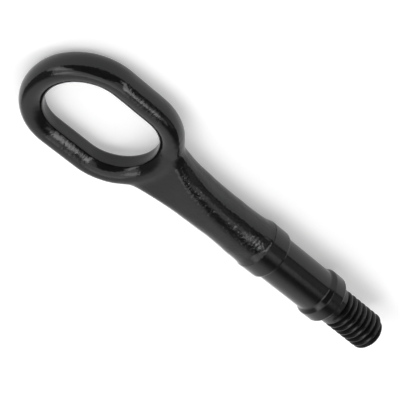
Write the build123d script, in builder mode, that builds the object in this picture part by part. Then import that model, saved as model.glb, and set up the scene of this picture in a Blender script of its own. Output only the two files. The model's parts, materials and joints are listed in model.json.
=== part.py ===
"""Screw-in tow eye: a forged steel eye and shank with a turned end for its screw thread.

+X runs along the shank axis towards the eye, +Z is the normal of the eye's plane.
The origin is on the axis, in the face of the guide collar that seats on the threaded socket.
"""

from build123d import *
import math
import os

# Turned end, measured along the axis from the seat face
thread_radius = 8.0
thread_length = 28.2
tip_bevel_length = 1.9
tip_face_radius = 6.2
guide_collar_radius = 10.5
guide_collar_length = 6.1
guide_cone_length = 1.9
guide_edge_bevel = 0.9
turned_shank_radius = 9.3
turned_shank_end_x = 34.3
rear_collar_radius = 10.5
rear_collar_length = 8.6
rear_flare_length = 5.5
rear_flare_end_radius = 8.7
rear_edge_bevel = 0.6

# Eye: a rounded bar bent round a slot with round ends, its hole wall pierced flat
eye_center_x = 125.5
eye_half_straight = 8.2
bar_path_radius = 19.45
bar_half_width = 4.55
bar_half_height = 5.6
crown_radius = 3.4
crown_offset = 0.5
pierced_half_height = 2.5
pierced_edge_bevel = 0.3

# Forged shank: axial place, half width, half height and corner radius of each section, and how far
# its middle is off the turned axis in Y and Z
shank_start_x = turned_shank_end_x + rear_collar_length
shank_sections = [
    (shank_start_x, 10.05, 9.5, 9.2, 0.18, 0.4),
    (56.0, 9.25, 8.9, 8.4, 0.16, 0.36),
    (82.0, 9.7, 7.1, 5.6, 0.1, 0.2),
    (100.3, 14.8, 4.4, 4.0, 0.0, 0.0),
]
forged_rim_radius = 10.5
forged_rim_length = 3.2
forged_rim_end_radius = 9.3
neck_fillet = 8.0

near_end_x = eye_center_x - eye_half_straight
far_end_x = eye_center_x + eye_half_straight
eye_outer_radius = bar_path_radius + bar_half_width
eye_hole_radius = bar_path_radius - bar_half_width

# Section of the eye's bar: a flank arc outside, a crown arc above and below, and a lip arc down to
# the flat pierced wall on each side, each tangent to the next
crown_center = bar_half_height - crown_radius
flank_reach = bar_half_width - crown_offset
flank_excess = flank_reach - crown_radius
flank_radius = (crown_center**2 + flank_reach**2 - crown_radius**2) / (2 * flank_excess)
flank_angle = math.degrees(math.atan2(crown_center, flank_radius - flank_reach))
lip_reach = bar_half_width + crown_offset
lip_drop = bar_half_height - pierced_half_height
lip_radius = (lip_reach**2 + lip_drop**2) / (2 * lip_drop)
lip_center = bar_half_height - lip_radius
lip_angle = math.degrees(math.asin(lip_reach / lip_radius))
with BuildSketch() as bar_section:
    with BuildLine():
        Line((-bar_half_width, pierced_half_height), (-bar_half_width, -pierced_half_height))
        CenterArc((crown_offset, -lip_center), lip_radius, 270 - lip_angle, lip_angle)
        CenterArc((crown_offset, -crown_center), crown_radius, -90, 90 - flank_angle)
        CenterArc((bar_half_width - flank_radius, 0), flank_radius, -flank_angle, 2 * flank_angle)
        CenterArc((crown_offset, crown_center), crown_radius, flank_angle, 90 - flank_angle)
        CenterArc((crown_offset, lip_center), lip_radius, 90, lip_angle)
    make_face()
    chamfer(bar_section.vertices().group_by(Axis.X)[0], pierced_edge_bevel)

# Eye: two straight sides, each running on into a round end
with BuildPart() as eye:
    for side, end_x in ((1, far_end_x), (-1, near_end_x)):
        end_plane = Plane((end_x, side * bar_path_radius, 0), x_dir=(0, side, 0), z_dir=(side, 0, 0))
        with BuildSketch(end_plane) as end_section:
            add(bar_section.sketch)
        extrude(amount=-2 * eye_half_straight)
        revolve(end_section.sketch, axis=Axis((end_x, 0, 0), (0, 0, 1)), revolution_arc=-180)

# Forged shank, round at the collar and flat at the neck, with a flared rim at the collar
with BuildPart() as forged_shank:
    for section_x, half_width, half_height, corner_radius, off_y, off_z in shank_sections:
        with BuildSketch(Plane((section_x, off_y, off_z), x_dir=(0, 1, 0), z_dir=(1, 0, 0))):
            RectangleRounded(2 * half_width, 2 * half_height, corner_radius)
    loft()
    rim_middle = (shank_start_x, shank_sections[0][4], shank_sections[0][5])
    with Locations(Plane(rim_middle, x_dir=(0, 1, 0), z_dir=(1, 0, 0))):
        Cone(
            forged_rim_radius,
            forged_rim_end_radius,
            forged_rim_length,
            align=(Align.CENTER, Align.CENTER, Align.MIN),
        )

# The whole tow eye: turned end, eye, shank and the blends of the neck
with BuildPart() as tow_eye:
    with BuildSketch(Plane.XZ):
        with BuildLine():
            Polyline(
                (-thread_length, 0),
                (-thread_length, tip_face_radius),
                (tip_bevel_length - thread_length, thread_radius),
                (0, thread_radius),
                (0, guide_collar_radius - guide_edge_bevel),
                (guide_edge_bevel, guide_collar_radius),
                (guide_collar_length, guide_collar_radius),
                (guide_collar_length + guide_cone_length, turned_shank_radius),
                (turned_shank_end_x, turned_shank_radius),
                (turned_shank_end_x, rear_collar_radius - rear_edge_bevel),
                (turned_shank_end_x + rear_edge_bevel, rear_collar_radius),
                (shank_start_x, rear_collar_radius),
                (shank_start_x + rear_flare_length, rear_flare_end_radius),
                (shank_start_x + rear_flare_length, 0),
                close=True,
            )
        make_face()
    revolve(axis=Axis.X)
    add(eye.part)
    add(forged_shank.part)
    neck_seam = [
        edge
        for edge in tow_eye.edges()
        if edge.bounding_box().min.X > near_end_x - eye_outer_radius
        and edge.bounding_box().max.X < near_end_x - eye_hole_radius
    ]
    fillet(neck_seam, neck_fillet)

os.makedirs("parts", exist_ok=True)
tow_eye.part.label = "tow_eye"
export_step(tow_eye.part, "parts/tow_eye.step")
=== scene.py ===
"""Tow eye: a forged steel eye and shank with a turned, threaded end, coated black, on a pale table."""

import json
import math

import bmesh
import bpy
from mathutils import Matrix, Vector, noise


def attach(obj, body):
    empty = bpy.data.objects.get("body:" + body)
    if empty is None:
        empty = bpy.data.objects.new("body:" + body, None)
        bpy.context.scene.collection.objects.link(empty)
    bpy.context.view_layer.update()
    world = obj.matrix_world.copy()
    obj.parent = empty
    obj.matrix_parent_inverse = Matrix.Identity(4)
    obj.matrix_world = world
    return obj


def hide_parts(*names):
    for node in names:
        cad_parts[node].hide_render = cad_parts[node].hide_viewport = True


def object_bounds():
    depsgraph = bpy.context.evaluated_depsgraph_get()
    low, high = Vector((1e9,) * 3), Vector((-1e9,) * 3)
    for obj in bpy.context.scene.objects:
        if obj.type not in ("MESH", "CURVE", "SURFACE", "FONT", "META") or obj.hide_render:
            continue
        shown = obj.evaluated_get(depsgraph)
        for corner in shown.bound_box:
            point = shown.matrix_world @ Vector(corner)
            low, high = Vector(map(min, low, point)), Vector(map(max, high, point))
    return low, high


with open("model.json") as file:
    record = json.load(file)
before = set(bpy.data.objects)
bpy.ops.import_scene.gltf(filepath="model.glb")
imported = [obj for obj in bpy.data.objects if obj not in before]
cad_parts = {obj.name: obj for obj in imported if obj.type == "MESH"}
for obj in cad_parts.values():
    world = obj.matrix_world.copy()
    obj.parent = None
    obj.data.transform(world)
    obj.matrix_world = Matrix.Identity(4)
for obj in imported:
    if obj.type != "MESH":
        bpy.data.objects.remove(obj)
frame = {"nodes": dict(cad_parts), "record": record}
cad_low, cad_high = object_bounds()

MM = 0.001
node_mesh = frame["nodes"]["tow_eye"].data
mounts = {mount["name"]: mount for mount in frame["record"]["mounts"]}

# Turned end, in millimetres from the seat face
GUIDE_RADIUS = mounts["guide_collar"]["dims"]["r_mm"]
GUIDE_LENGTH = 6.1
CONE_LENGTH = 1.9
SHANK_RADIUS = 9.3
REAR_START = 34.3
REAR_END = 42.9
REAR_RADIUS = 10.5
LATHE_STEPS = 160

# Left-hand thread: middle of the groove at one angle, and the size of the groove
THREAD_RADIUS = mounts["thread"]["dims"]["r_mm"]
THREAD_TIP = cad_low.x / MM
TIP_BEVEL = 1.9
TIP_RADIUS = 6.2
PITCH = 3.0
GROOVE_DEPTH = 1.75
GROOVE_MOUTH = 2.55
GROOVE_FLOOR = 0.5
GROOVE_X = -5.7
GROOVE_ANGLE = 222.6
RUNOUT_ANGLE = 132.6
THREAD_STEPS = 90

# Forged body, with the hole of its eye and the place where the eye rests on the table
EYE_X = mounts["eye"]["pos_m"][0] / MM
HOLE_RADIUS = 14.9
HOLE_STRAIGHT = 8.2
EYE_HALF_HEIGHT = 5.6
EYE_REST_X = 153.65
VOXEL = 0.4
FORGED, TURNED, CUT = 0, 1, 2

# Table, in metres across, and the gap under the rear collar in millimetres
TABLE_HALF_SIZE = 40
TABLE_GAP = 0.03
TABLE_COLOUR = (0.85, 0.85, 0.85, 1)
TABLE_LIFT = 0.3

# Camera at the photo's angle: lens, aim and distance in millimetres
LENS = 119.72
SENSOR = 36.0
AIM = Vector((73.881, 0.74, 0.0))
DISTANCE = 497.554


def rounded_profile(bm, corners):
    """A line through corners of place, radius and rounding, each rounded by its own amount."""
    verts = [bm.verts.new((x * MM, radius * MM, 0)) for x, radius, _ in corners]
    bm.faces.new(verts)
    for vert, (_, _, rounding) in zip(verts, corners):
        if rounding:
            bmesh.ops.bevel(
                bm,
                geom=[vert],
                offset=rounding * MM,
                offset_type="OFFSET",
                affect="VERTICES",
                segments=5,
                profile=0.5,
                material=-1,
            )
    bmesh.ops.delete(bm, geom=bm.faces[:], context="FACES_ONLY")


def turned_shell():
    """Collars and straight shank, spun from a profile with a point on each side of a rounding."""
    bm = bmesh.new()
    cone_slope = (GUIDE_RADIUS - SHANK_RADIUS) / CONE_LENGTH
    cone_end = GUIDE_LENGTH + CONE_LENGTH
    rounded_profile(
        bm,
        [
            (0, 0, 0),
            (0, GUIDE_RADIUS - 1.0, 0),
            (0, GUIDE_RADIUS, 0.8),
            (1.0, GUIDE_RADIUS, 0),
            (GUIDE_LENGTH - 0.45, GUIDE_RADIUS, 0),
            (GUIDE_LENGTH, GUIDE_RADIUS, 0.25),
            (GUIDE_LENGTH + 0.35, GUIDE_RADIUS - 0.35 * cone_slope, 0),
            (cone_end - 0.55, SHANK_RADIUS + 0.55 * cone_slope, 0),
            (cone_end, SHANK_RADIUS, 0.5),
            (cone_end + 0.7, SHANK_RADIUS, 0),
            (REAR_START - 0.45, SHANK_RADIUS, 0),
            (REAR_START, SHANK_RADIUS, 0.3),
            (REAR_START, REAR_RADIUS, 0.85),
            (REAR_START + 1.0, REAR_RADIUS, 0),
            (REAR_END - 0.25, REAR_RADIUS, 0),
            (REAR_END, REAR_RADIUS, 0.1),
            (REAR_END, REAR_RADIUS - 0.3, 0),
            (REAR_END, 0, 0),
        ],
    )
    on_axis = [edge for edge in bm.edges if all(vert.co.y < 1e-7 for vert in edge.verts)]
    bmesh.ops.delete(bm, geom=on_axis, context="EDGES")
    bmesh.ops.spin(
        bm,
        geom=bm.verts[:] + bm.edges[:],
        cent=(0, 0, 0),
        axis=(1, 0, 0),
        dvec=(0, 0, 0),
        angle=math.tau,
        steps=LATHE_STEPS,
        use_merge=True,
    )
    bmesh.ops.remove_doubles(bm, verts=bm.verts[:], dist=1e-7)
    bmesh.ops.recalc_face_normals(bm, faces=bm.faces[:])
    return bm


def groove_middle(angle):
    """Place of the groove's middle along the axis at an unwrapped angle in degrees."""
    return GROOVE_X - PITCH * (angle - GROOVE_ANGLE) / 360


def groove_angle(x):
    """Unwrapped angle at which the groove's middle passes a place along the axis."""
    return GROOVE_ANGLE - (x - GROOVE_X) * 360 / PITCH


def thread_shell():
    """One pitch of the thread's profile, spun along its screw, with run-out and pointed tip."""
    bm = bmesh.new()
    root_radius = THREAD_RADIUS - GROOVE_DEPTH
    start = groove_angle(1.2 + PITCH / 2)
    end = groove_angle(THREAD_TIP - 0.3 - PITCH / 2)
    middle = groove_middle(start)
    rounded_profile(
        bm,
        [
            (middle + PITCH / 2, THREAD_RADIUS, 0),
            (middle + GROOVE_MOUTH / 2, THREAD_RADIUS, 0.1),
            (middle + GROOVE_FLOOR / 2, root_radius, 0.12),
            (middle - GROOVE_FLOOR / 2, root_radius, 0.12),
            (middle - GROOVE_MOUTH / 2, THREAD_RADIUS, 0.1),
            (middle - PITCH / 2, THREAD_RADIUS, 0),
            (middle - PITCH / 2, 0, 0),
            (middle + PITCH / 2, 0, 0),
        ],
    )
    inner = [vert for vert in bm.verts if vert.co.y < 1e-7]
    bmesh.ops.delete(bm, geom=inner, context="VERTS")
    first_turn = Matrix.Rotation(math.radians(start), 3, "X")
    bmesh.ops.rotate(bm, verts=bm.verts[:], cent=(0, 0, 0), matrix=first_turn)
    steps = round((end - start) / 360 * THREAD_STEPS)
    bmesh.ops.spin(
        bm,
        geom=bm.verts[:] + bm.edges[:],
        cent=(0, 0, 0),
        axis=(1, 0, 0),
        dvec=(-PITCH * MM / THREAD_STEPS, 0, 0),
        angle=math.tau * steps / THREAD_STEPS,
        steps=steps,
    )
    bmesh.ops.remove_doubles(bm, verts=bm.verts[:], dist=1e-6)
    tip_slope = (THREAD_RADIUS - TIP_RADIUS) / TIP_BEVEL
    for vert in bm.verts:
        x = vert.co.x / MM
        radius = math.hypot(vert.co.y, vert.co.z) / MM
        near = math.degrees(math.atan2(vert.co.z, vert.co.y))
        angle = near + 360 * round((groove_angle(x) - near) / 360)
        if angle < RUNOUT_ANGLE:
            past = math.radians(min(RUNOUT_ANGLE - angle, 60))
            floor = min(root_radius / math.cos(past), THREAD_RADIUS)
            radius = min(THREAD_RADIUS, radius + floor - root_radius)
        radius = min(radius, TIP_RADIUS + (x - THREAD_TIP) * tip_slope)
        turn = math.radians(near)
        vert.co = Vector((x, radius * math.cos(turn), radius * math.sin(turn))) * MM
    for place, side in ((1.0, 1), (THREAD_TIP, -1)):
        cut = bmesh.ops.bisect_plane(
            bm,
            geom=bm.verts[:] + bm.edges[:] + bm.faces[:],
            dist=1e-7,
            plane_co=(place * MM, 0, 0),
            plane_no=(side, 0, 0),
            clear_outer=True,
        )
        rim = [item for item in cut["geom_cut"] if isinstance(item, bmesh.types.BMEdge)]
        bmesh.ops.holes_fill(bm, edges=rim, sides=0)
    bmesh.ops.triangulate(bm, faces=[face for face in bm.faces if len(face.verts) > 4])
    bmesh.ops.recalc_face_normals(bm, faces=bm.faces[:])
    return bm


def ramp(value, start, end):
    """A smooth step from 0 at the start to 1 at the end."""
    step = min(max((value - start) / (end - start), 0), 1)
    return step * step * (3 - 2 * step)


def near_edge(place):
    """Whether a place is at the rim behind the collar or at the pierced wall of the hole."""
    along = max(abs(place.x - EYE_X) - HOLE_STRAIGHT, 0)
    return place.x < REAR_END + 1.2 or math.hypot(along, place.y) < HOLE_RADIUS + 0.9


def closed_forging():
    """Eye, neck and forged shank from the node, cut off and closed behind the rear collar."""
    bm = bmesh.new()
    bm.from_mesh(node_mesh)
    bmesh.ops.remove_doubles(bm, verts=bm.verts[:], dist=1e-6)
    cut = bmesh.ops.bisect_plane(
        bm,
        geom=bm.verts[:] + bm.edges[:] + bm.faces[:],
        dist=1e-7,
        plane_co=((REAR_END + 0.05) * MM, 0, 0),
        plane_no=(-1, 0, 0),
        clear_outer=True,
    )
    rim = [item for item in cut["geom_cut"] if isinstance(item, bmesh.types.BMEdge)]
    for shift, scale in ((-0.25, 1.0), (0.0, 0.9)):
        sleeve = bmesh.ops.extrude_edge_only(bm, edges=rim)["geom"]
        rim = [item for item in sleeve if isinstance(item, bmesh.types.BMEdge)]
        moved = [item for item in sleeve if isinstance(item, bmesh.types.BMVert)]
        bmesh.ops.translate(bm, verts=moved, vec=(shift * MM, 0, 0))
        bmesh.ops.scale(bm, verts=moved, vec=(1, scale, scale))
        rim = [edge for edge in rim if edge.is_boundary]
    bmesh.ops.holes_fill(bm, edges=[edge for edge in bm.edges if edge.is_boundary], sides=0)
    bmesh.ops.triangulate(bm, faces=[face for face in bm.faces if len(face.verts) > 4])
    bmesh.ops.recalc_face_normals(bm, faces=bm.faces[:])
    return bm


def evenly_meshed(bm):
    """The same shape in small faces of one size."""
    rough = bpy.data.objects.new("forging", bpy.data.meshes.new("forging"))
    bm.to_mesh(rough.data)
    bm.free()
    bpy.context.scene.collection.objects.link(rough)
    remesh = rough.modifiers.new("even", "REMESH")
    remesh.mode = "VOXEL"
    remesh.voxel_size = VOXEL * MM
    depsgraph = bpy.context.evaluated_depsgraph_get()
    even = bpy.data.meshes.new_from_object(rough.evaluated_get(depsgraph))
    bpy.data.objects.remove(rough)
    bm = bmesh.new()
    bm.from_mesh(even)
    return bm


def forging_swell(place, normal):
    """How far the forging stands proud at a place, with its places along X, in millimetres."""
    waves = noise.noise(place / 7.0) * 0.035
    ripples = noise.noise(place / 2.6 + Vector((31, 7, 5))) * 0.014
    back = normal.y * 0.735 + normal.z * 0.677
    low_front = max(0, -back)
    high_back = max(0, back)
    belly = 0.32 * low_front * ramp(place.x, 48, 62) * ramp(place.x, 88, 78)
    shoulder = 0.3 * high_back * ramp(place.x, 60, 70) * ramp(place.x, 96, 88)
    hollow = 0.35 * high_back * ramp(place.x, 53, 46)
    flare = 0.25 * ramp(place.x, 43, 45.3) * ramp(place.x, 57, 45.3)
    cheek = 0.8 * max(0, normal.y) ** 2 * ramp(place.x, 88, 97) * ramp(place.x, 107, 99)
    return waves + ripples + belly + shoulder - hollow + flare + cheek - 0.03


def neck_draft(place):
    """How far the neck's front top and back bottom corners draw in towards the middle."""
    if place.y * place.z >= 0:
        return 0
    draft = 0.09 * min(abs(place.y), 10) * ramp(abs(place.z), 0.5, 5)
    draft *= ramp(place.x, 76, 89) * ramp(place.x, 108, 90)
    return math.copysign(draft, place.y)


def forged_shell():
    """Forged body, smoothed most where the eye leaves the neck, then swelled and drawn in."""
    bm = evenly_meshed(closed_forging())
    open_field = [vert for vert in bm.verts if not near_edge(vert.co / MM)]
    blend = [
        vert
        for vert in open_field
        if 91 < vert.co.x / MM < 105 and abs(vert.co.y) / MM > 8.5
    ]
    deep = [
        vert
        for vert in blend
        if 93.5 < vert.co.x / MM < 102.5 and abs(vert.co.y) / MM > 9.5
    ]
    passes = [bm.verts[:]] * 2 + [open_field] * 5 + [blend] * 8 + [deep] * 20 + [blend] * 4
    for verts in passes:
        bmesh.ops.smooth_vert(
            bm, verts=verts, factor=0.5, use_axis_x=True, use_axis_y=True, use_axis_z=True
        )
    bm.normal_update()
    for vert in bm.verts:
        place = vert.co / MM
        vert.co += vert.normal * forging_swell(place, vert.normal) * MM
        vert.co.y -= neck_draft(place) * MM
    return bm


def joined(name, shells):
    """One object from several closed shells, each with its own material."""
    whole = bmesh.new()
    for index, shell in shells:
        for face in shell.faces:
            face.material_index = index
            face.smooth = True
        part = bpy.data.meshes.new("shell")
        shell.to_mesh(part)
        shell.free()
        whole.from_mesh(part)
        bpy.data.meshes.remove(part)
    mesh = bpy.data.meshes.new(name)
    whole.to_mesh(mesh)
    whole.free()
    obj = bpy.data.objects.new(name, mesh)
    bpy.context.scene.collection.objects.link(obj)
    return obj


class Nodes:
    """Short calls to place and link the nodes of one material."""

    def __init__(self, tree):
        self.tree = tree

    def add(self, kind, **inputs):
        node = self.tree.nodes.new(kind)
        for key, value in inputs.items():
            self.put(node, key.replace("_", " "), value)
        return node

    def put(self, node, socket, value):
        target = node.inputs[socket]
        if isinstance(value, bpy.types.NodeSocket):
            self.tree.links.new(value, target)
        else:
            target.default_value = value

    def noise(self, vector, scale, detail=2.0, roughness=0.5):
        node = self.add(
            "ShaderNodeTexNoise", Vector=vector, Scale=scale, Detail=detail, Roughness=roughness
        )
        return node.outputs[0]

    def stretched(self, vector, scale):
        return self.add("ShaderNodeMapping", Vector=vector, Scale=scale).outputs[0]

    def math(self, operation, first, second):
        node = self.add("ShaderNodeMath")
        node.operation = operation
        self.put(node, 0, first)
        self.put(node, 1, second)
        return node.outputs[0]

    def between(self, value, low, high, out_low, out_high):
        node = self.add("ShaderNodeMapRange", Value=value)
        node.interpolation_type = "SMOOTHSTEP"
        for index, setting in enumerate((low, high, out_low, out_high)):
            self.put(node, index + 1, setting)
        return node.outputs[0]

    def bump(self, height, distance, normal=None):
        node = self.add("ShaderNodeBump", Height=height, Distance=distance, Strength=1.0)
        if normal is not None:
            self.put(node, "Normal", normal)
        return node.outputs[0]

    def ramp(self, value, low, high):
        node = self.add("ShaderNodeValToRGB", Fac=value)
        node.color_ramp.elements[0].position = 0.3
        node.color_ramp.elements[1].position = 0.7
        node.color_ramp.elements[0].color = (*low, 1)
        node.color_ramp.elements[1].color = (*high, 1)
        return node.outputs[0]


def new_material(name):
    """A glossy material with its nodes, shader and place on the piece."""
    material = bpy.data.materials.new(name)
    material.use_nodes = True
    material.node_tree.nodes.clear()
    nodes = Nodes(material.node_tree)
    shader = nodes.add("ShaderNodeBsdfPrincipled", IOR=1.43)
    output = nodes.add("ShaderNodeOutputMaterial")
    nodes.put(output, "Surface", shader.outputs[0])
    place = nodes.add("ShaderNodeTexCoord").outputs["Object"]
    return material, nodes, shader, place


def forged_coat():
    """Coat over the forging: a fine orange-peel grain, coarser on the shank, over soft waves."""
    material, nodes, shader, place = new_material("black_coat_forged")
    grain = nodes.noise(place, 900, 1.0, 0.5)
    along = nodes.add("ShaderNodeSeparateXYZ", Vector=place).outputs["X"]
    coarser = nodes.between(along, 0.108, 0.088, 0.000036, 0.0001)
    waves = nodes.noise(place, 330, 2.0)
    tone = nodes.ramp(nodes.noise(place, 240, 4.0), (0.002, 0.002, 0.0021), (0.004, 0.004, 0.0043))
    nodes.put(shader, "Base Color", tone)
    gloss = nodes.between(nodes.noise(place, 700, 3.0), 0.3, 0.7, 0.1, 0.17)
    nodes.put(shader, "Roughness", gloss)
    nodes.put(shader, "Normal", nodes.bump(grain, coarser, nodes.bump(waves, 0.00003)))
    return material


def turned_coat():
    """Coat over the lathe work: fine rings round the axis under a smooth film."""
    material, nodes, shader, place = new_material("black_coat_turned")
    rings = nodes.noise(nodes.stretched(place, (5200, 60, 60)), 1.0, 2.0)
    film = nodes.noise(place, 900, 2.0)
    tone = nodes.ramp(nodes.noise(place, 260, 3.0), (0.002, 0.002, 0.0021), (0.0038, 0.0038, 0.0041))
    nodes.put(shader, "Base Color", tone)
    gloss = nodes.between(nodes.noise(place, 600, 3.0), 0.3, 0.7, 0.14, 0.2)
    nodes.put(shader, "Roughness", gloss)
    nodes.put(shader, "Normal", nodes.bump(rings, 0.000006, nodes.bump(film, 0.000012)))
    return material


def cut_coat():
    """Coat on the thread: glossy crests, rougher grooves whose lower specular level is painted shade, and
    cutter marks along the flanks.
    """
    material, nodes, shader, place = new_material("black_coat_thread")
    marks = nodes.noise(nodes.stretched(place, (1500, 400, 400)), 1.0, 3.0)
    across = nodes.add("ShaderNodeVectorMath", Vector=nodes.stretched(place, (0, 1000, 1000)))
    across.operation = "LENGTH"
    radius = across.outputs["Value"]
    tone = nodes.ramp(nodes.noise(place, 420, 3.0), (0.0025, 0.0025, 0.0026), (0.005, 0.005, 0.0053))
    nodes.put(shader, "Base Color", tone)
    worn = nodes.between(nodes.noise(place, 800, 3.0), 0.3, 0.7, 0.14, 0.24)
    nodes.put(shader, "Roughness", nodes.between(radius, 7.0, 7.9, 0.42, worn))
    # Painted shade: the specular level drops towards the groove floors, so the grooves reflect less than
    # the crests
    nodes.put(shader, "Specular IOR Level", nodes.between(radius, 6.9, 7.85, 0.14, 0.55))
    nodes.put(shader, "Normal", nodes.bump(marks, 0.00002))
    return material


def table():
    """A white table that touches the rear collar and the far end of the eye."""
    slope = math.atan2(REAR_RADIUS - EYE_HALF_HEIGHT, EYE_REST_X - REAR_END)
    bm = bmesh.new()
    bmesh.ops.create_grid(bm, x_segments=1, y_segments=1, size=TABLE_HALF_SIZE)
    tilt = Matrix.Rotation(-slope, 3, "Y")
    bmesh.ops.rotate(bm, verts=bm.verts[:], cent=(0, 0, 0), matrix=tilt)
    under_collar = (REAR_END * MM, 0, -(REAR_RADIUS + TABLE_GAP) * MM)
    bmesh.ops.translate(bm, verts=bm.verts[:], vec=under_collar)
    mesh = bpy.data.meshes.new("table")
    bm.to_mesh(mesh)
    bm.free()
    obj = bpy.data.objects.new("table", mesh)
    bpy.context.scene.collection.objects.link(obj)
    material = bpy.data.materials.new("white_table")
    material.use_nodes = True
    material.node_tree.nodes.clear()
    nodes = Nodes(material.node_tree)
    rays = nodes.add("ShaderNodeLightPath").outputs
    seen = nodes.math("MAXIMUM", rays["Is Camera Ray"], rays["Is Glossy Ray"])
    seen = nodes.math("MAXIMUM", seen, rays["Is Transmission Ray"])
    lift = nodes.math("MULTIPLY", seen, TABLE_LIFT)
    diffuse = nodes.add("ShaderNodeBsdfDiffuse", Color=TABLE_COLOUR)
    glow = nodes.add("ShaderNodeEmission", Color=(1, 1, 1, 1), Strength=lift)
    both = nodes.add("ShaderNodeAddShader")
    nodes.put(both, 0, diffuse.outputs[0])
    nodes.put(both, 1, glow.outputs[0])
    output = nodes.add("ShaderNodeOutputMaterial")
    nodes.put(output, "Surface", both.outputs[0])
    mesh.materials.append(material)


def panel(name, centre, sides, width, height, brightness):
    """A soft rectangular lamp of one brightness all over, facing away from its sides' cross."""
    lamp = bpy.data.lights.new(name, "AREA")
    lamp.shape = "RECTANGLE"
    lamp.size = width
    lamp.size_y = height
    lamp.energy = brightness * math.pi * width * height
    obj = bpy.data.objects.new(name, lamp)
    along, across = Vector(sides[0]), Vector(sides[1])
    turn = Matrix((along, across, along.cross(across))).transposed().to_4x4()
    obj.matrix_world = Matrix.Translation(centre) @ turn
    bpy.context.scene.collection.objects.link(obj)


def leaning(angle):
    """Sides of an upright panel in front that leans towards the thread's end."""
    return (math.cos(angle), 0, math.sin(angle)), (-math.sin(angle), 0, math.cos(angle))


def studio():
    """Ceiling and end panels, strips before dim sheets in front, and a tent dark on the camera's side."""
    flat = (1, 0, 0), (0, 1, 0)
    upright = (1, 0, 0), (0, 0, 1)
    end = (0, 0.85, 0.527), (0, -0.527, 0.85)
    panel("ceiling", (2.45, 0.033, 0.8), flat, 5.4, 0.584, 1.45)
    panel("ceiling middle", (0.5, 0.17, 0.79), flat, 0.36, 0.32, 1.9)
    panel("end", (1.2, -0.04, 0.42), end, 0.36, 0.95, 1.9)
    panel("strip", (-0.531, -0.8, 1.367), leaning(0.351), 0.149, 2.7, 3.93)
    panel("strip middle", (-0.467, -0.79, 1.191), leaning(0.351), 0.149, 0.869, 1.69)
    panel("sheet", (-0.334, -0.82, 1.605), upright, 0.702, 2.038, 0.89)
    panel("tail", (-0.995, -0.81, 1.277), leaning(0.531), 0.181, 1.353, 0.61)
    panel("tail foot", (-0.861, -0.8, 1.049), leaning(0.531), 0.181, 0.653, 0.51)
    panel("low sheet", (-0.75, -0.83, 0.312), upright, 0.703, 0.479, 0.29)
    world = bpy.data.worlds.new("studio")
    world.use_nodes = True
    nodes = Nodes(world.node_tree)
    direction = nodes.add("ShaderNodeTexCoord").outputs["Generated"]
    axes = nodes.add("ShaderNodeSeparateXYZ", Vector=direction).outputs
    rear = nodes.between(axes["X"], 0.385, -0.115, 0.239, 1.06)
    tent = nodes.between(axes["Y"], -0.141, 0.505, 0.128, rear)
    background = world.node_tree.nodes["Background"]
    nodes.put(background, "Color", (1, 1, 1, 1))
    nodes.put(background, "Strength", tent)
    bpy.context.scene.world = world


def photo_camera():
    """Camera at the photo's angle, rolled so that the eye is at the upper left."""
    camera = bpy.data.cameras.new("camera")
    camera.sensor_width = SENSOR
    camera.lens = LENS
    obj = bpy.data.objects.new("camera", camera)
    bpy.context.scene.collection.objects.link(obj)
    right = Vector((-0.67919, -0.72110, -0.13678))
    down = Vector((-0.54100, 0.36592, 0.75725))
    back = Vector((0.49600, -0.58832, 0.63864))
    turn = Matrix((right, -down, back)).transposed().to_4x4()
    obj.matrix_world = Matrix.Translation((AIM + back * DISTANCE) * MM) @ turn
    bpy.context.scene.camera = obj


body = joined(
    "tow_eye_body",
    [(FORGED, forged_shell()), (TURNED, turned_shell()), (CUT, thread_shell())],
)
for coat in (forged_coat(), turned_coat(), cut_coat()):
    body.data.materials.append(coat)
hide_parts("tow_eye")
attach(body, "root")

table()
studio()
photo_camera()
bpy.context.scene.view_settings.view_transform = "Standard"
